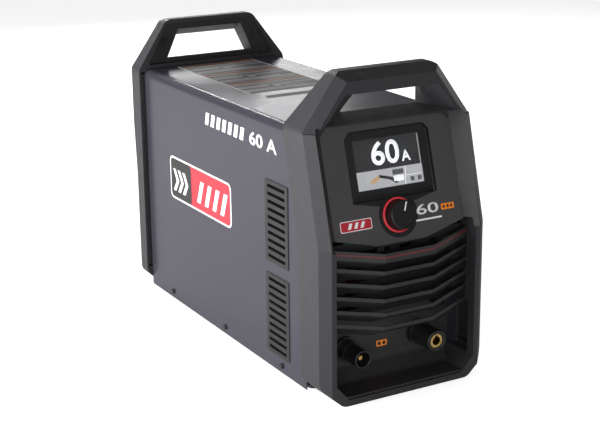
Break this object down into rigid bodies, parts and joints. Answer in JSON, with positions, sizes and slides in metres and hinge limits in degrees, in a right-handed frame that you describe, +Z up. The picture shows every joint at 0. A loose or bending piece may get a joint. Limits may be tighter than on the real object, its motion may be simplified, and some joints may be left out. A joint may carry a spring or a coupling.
{
  "type": "plasma cutter power unit",
  "caption": "Portable inverter plasma cutter power unit: sheet cover between two moulded ends with grab handles, leaning display panel with dial, bladed grille and front sockets.",
  "frame": {"origin": "on the ground, at the middle of the footprint", "axes": "+X to the right of a person facing the controls, -Y towards that person, +Z up"},
  "size_m": [0.27, 0.64, 0.455],
  "materials": {
    "moulding": "fine grained moulding",
    "handle_plate": "fine grained moulding",
    "panel": "satin overlay with printed marks",
    "window": "clear",
    "display": "lit display",
    "circuit_board": "lacquered board",
    "knob": "fine grained",
    "white_mark": "printed mark",
    "red_light": "lit light guide",
    "zinc_steel": "zinc plated",
    "grille": "satin powder coat",
    "accent": "smooth",
    "inner_black": "flat powder coat",
    "bay_panel": "fine grained",
    "socket_black": "glass filled",
    "brass": "turned",
    "cover": "metallic powder coat",
    "vent": "fine grained",
    "screw_black": "black zinc",
    "pan": "powder coat",
    "rubber": "moulded",
    "fan_black": "moulded",
    "guard": "bright wire",
    "switch_rocker": "smooth",
    "heat_sink": "extruded",
    "capacitor": "printed sleeve",
    "ferrite": "sintered",
    "copper": "enamelled winding",
    "hose": "smooth tube"
  },
  "bodies": {
    "chassis": {"front_bezel": "moulding", "rear_bezel": "moulding", "front_handle_plate": "handle_plate", "rear_handle_plate": "handle_plate", "control_panel": "panel", "display_window": "window", "display_module": "display", "control_board": "circuit_board", "halo_ring": "red_light", "encoder_body": "zinc_steel", "encoder_nut": "zinc_steel", "front_grille": "grille", "grille_accent": "accent", "front_baffle": "inner_black", "connector_panel": "bay_panel", "torch_socket_body": "socket_black", "torch_socket_pins": "brass", "torch_socket_nut": "zinc_steel", "work_socket_body": "socket_black", "work_socket_contact": "brass", "work_socket_nut": "zinc_steel", "wrap_cover": "cover", "left_upper_vent": "vent", "left_lower_vent": "vent", "right_upper_vent": "vent", "right_lower_vent": "vent", "cover_screws": "screw_black", "handle_screws": "screw_black", "base_pan": "pan", "rubber_feet": "rubber", "cover_gasket": "rubber", "rear_panel": "pan", "fan_frame": "fan_black", "fan_guard": "guard", "fan_screws": "screw_black", "power_switch_body": "socket_black", "cord_gland_body": "socket_black", "cord_gland_cap": "socket_black", "cord_gland_nut": "socket_black", "air_inlet_fitting": "brass", "air_inlet_nut": "brass", "heat_sink": "heat_sink", "power_modules": "socket_black", "power_board": "circuit_board", "bulk_capacitors": "capacitor", "board_brackets": "zinc_steel", "sink_brackets": "zinc_steel", "transformer_core": "ferrite", "transformer_winding": "copper", "output_choke": "copper", "air_valve_body": "brass", "air_valve_coil": "socket_black", "inlet_hose": "hose", "torch_hose": "hose"},
    "push_stem": {"encoder_plunger": "zinc_steel"},
    "knob": {"adjust_knob": "knob", "knob_pointer": "white_mark", "encoder_shaft": "zinc_steel"},
    "rear_switch": {"power_switch_rocker": "switch_rocker"},
    "fan": {"fan_rotor": "fan_black"}
  },
  "joints": [
    {"name": "knob_push", "type": "slide", "parent": "chassis", "child": "push_stem", "axis": [0, 0.9598, -0.2807], "range_m": [0, 0.001], "stiffness_N_per_m": 1500},
    {"name": "knob_spin", "type": "hinge", "parent": "push_stem", "child": "knob", "pos_m": [0, -0.2905, 0.254], "axis": [0, -0.9598, 0.2807], "continuous": true},
    {"name": "rear_switch_tilt", "type": "hinge", "parent": "chassis", "child": "rear_switch", "pos_m": [-0.062, 0.2965, 0.15], "axis": [1, 0, 0], "range_deg": [0, 18]},
    {"name": "fan_spin", "type": "hinge", "parent": "chassis", "child": "fan", "pos_m": [0, 0.286, 0.258], "axis": [0, 1, 0], "continuous": true}
  ]
}
